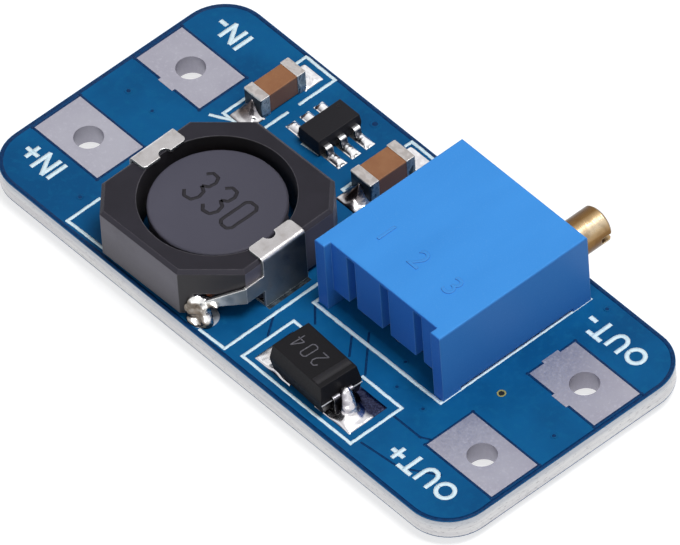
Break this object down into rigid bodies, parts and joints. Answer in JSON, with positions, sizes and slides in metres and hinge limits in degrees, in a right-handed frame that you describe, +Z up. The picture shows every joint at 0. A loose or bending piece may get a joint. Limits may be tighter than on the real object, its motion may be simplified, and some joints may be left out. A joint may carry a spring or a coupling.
{
  "type": "boost converter module",
  "caption": "Small blue circuit board that raises a DC voltage, with a shielded inductor, a converter chip, a diode, capacitors and a brass-screw trimmer that sets the output.",
  "frame": {"origin": "centre of the board's underside, midway between the four terminal holes", "axes": "+X from the input end to the output end, +Y from the inductor and diode edge to the edge that the trimmer's screw points at, +Z up out of the component side"},
  "size_m": [0.036, 0.0179, 0.0064],
  "materials": {
    "board_core": "sawn glass-epoxy laminate",
    "solder_mask": "satin blue solder mask",
    "terminal_tin": "hot-levelled tin on copper",
    "ferrite_shield": "pressed and fired ferrite",
    "ferrite_core": "pressed and fired ferrite, ground top",
    "enamelled_copper": "enamelled copper wire",
    "clip_tin": "tinned spring strip",
    "solder": "reflowed solder",
    "trimmer_plastic": "moulded satin plastic",
    "screw_brass": "turned brass",
    "seal_rubber": "moulded rubber",
    "wheel_plastic": "moulded plastic",
    "contact_spring": "stamped spring strip",
    "element_ceramic": "fired alumina",
    "track_film": "screen-printed resistive film",
    "sealing_resin": "cast epoxy resin",
    "pin_tin": "tinned wire",
    "capacitor_ceramic": "fired dielectric ceramic",
    "capacitor_cap": "plated end cap",
    "chip_resin": "moulded epoxy",
    "diode_resin": "moulded epoxy",
    "lead_tin": "tin-plated lead frame",
    "resistor_ceramic": "glass-coated chip on alumina"
  },
  "bodies": {
    "module": {"circuit_board": "board_core", "input_plus_terminal": "terminal_tin", "input_minus_terminal": "terminal_tin", "output_plus_terminal": "terminal_tin", "output_minus_terminal": "terminal_tin", "solder_mask_top": "solder_mask", "solder_mask_bottom": "solder_mask", "inductor_shield_ring": "ferrite_shield", "inductor_drum_core": "ferrite_core", "inductor_winding": "enamelled_copper", "inductor_clip_output_side": "clip_tin", "inductor_clip_input_side": "clip_tin", "wire_joint_output_side": "solder", "wire_joint_input_side": "solder", "clip_joint_output_side": "solder", "clip_joint_input_side": "solder", "trimmer_housing": "trimmer_plastic", "ceramic_element": "element_ceramic", "resistive_track": "track_film", "sealing_compound": "sealing_resin", "trimmer_pin_left": "pin_tin", "trimmer_pin_wiper": "pin_tin", "trimmer_pin_right": "pin_tin", "pin_joint_left": "solder", "pin_joint_wiper": "solder", "pin_joint_right": "solder", "chip_body": "chip_resin", "diode_body": "diode_resin", "diode_anode_lead": "lead_tin", "diode_cathode_lead": "lead_tin", "diode_anode_joint": "solder", "diode_cathode_joint": "solder", "feedback_resistor_body": "resistor_ceramic", "feedback_resistor_front_end": "solder", "feedback_resistor_back_end": "solder", "input_capacitor_body": "capacitor_ceramic", "input_capacitor_front_cap": "capacitor_cap", "input_capacitor_front_joint": "solder", "input_capacitor_back_cap": "capacitor_cap", "input_capacitor_back_joint": "solder", "output_capacitor_body": "capacitor_ceramic", "output_capacitor_front_cap": "capacitor_cap", "output_capacitor_front_joint": "solder", "output_capacitor_back_cap": "capacitor_cap", "output_capacitor_back_joint": "solder", "chip_lead_1": "lead_tin", "chip_lead_2": "lead_tin", "chip_lead_3": "lead_tin", "chip_lead_4": "lead_tin", "chip_lead_5": "lead_tin", "chip_lead_6": "lead_tin"},
    "screw": {"adjusting_screw": "screw_brass", "shaft_seal": "seal_rubber"},
    "wiper": {"wiper_wheel": "wheel_plastic", "wiper_contact": "contact_spring"}
  },
  "joints": [
    {"name": "screw_turn", "type": "hinge", "parent": "module", "child": "screw", "pos_m": [0.00984, 0, 0.00463], "axis": [0, 1, 0], "range_deg": [-4500, 4500]},
    {"name": "wiper_turn", "type": "hinge", "parent": "module", "child": "wiper", "pos_m": [0.00594, 0.0025, 0.00463], "axis": [0, 0, 1], "range_deg": [-160.8, 160.8]}
  ],
  "couplings": [
    {"joint": "wiper_turn", "follows": "screw_turn", "ratio": -0.035714}
  ]
}
